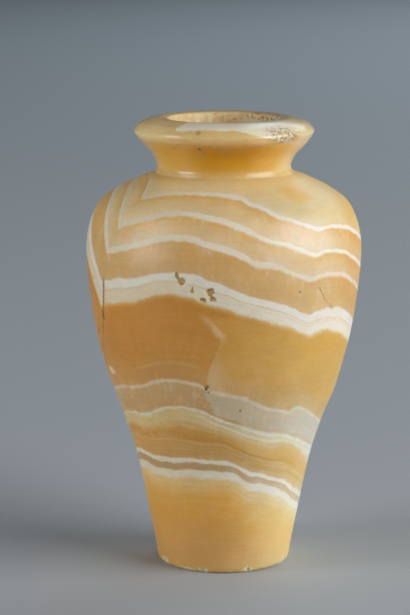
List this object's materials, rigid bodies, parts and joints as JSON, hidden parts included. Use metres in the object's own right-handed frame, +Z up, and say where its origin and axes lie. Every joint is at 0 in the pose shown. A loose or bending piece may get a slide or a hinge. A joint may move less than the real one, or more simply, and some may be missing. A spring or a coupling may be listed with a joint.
{
  "type": "alabaster vase",
  "caption": "Shouldered jar of banded alabaster with a tapering body, short waisted neck and broad rounded lip, hollow inside and standing on its flat foot.",
  "frame": {"origin": "middle of the flat underside of the foot", "axes": "+Z up along the jar's axis, best side towards -Y"},
  "size_m": [0.1068, 0.1068, 0.175],
  "materials": {
    "alabaster": "satin polish, honey coloured with wavy white bands, slightly translucent"
  },
  "bodies": {
    "root": {"vase": "alabaster"}
  },
  "joints": []
}
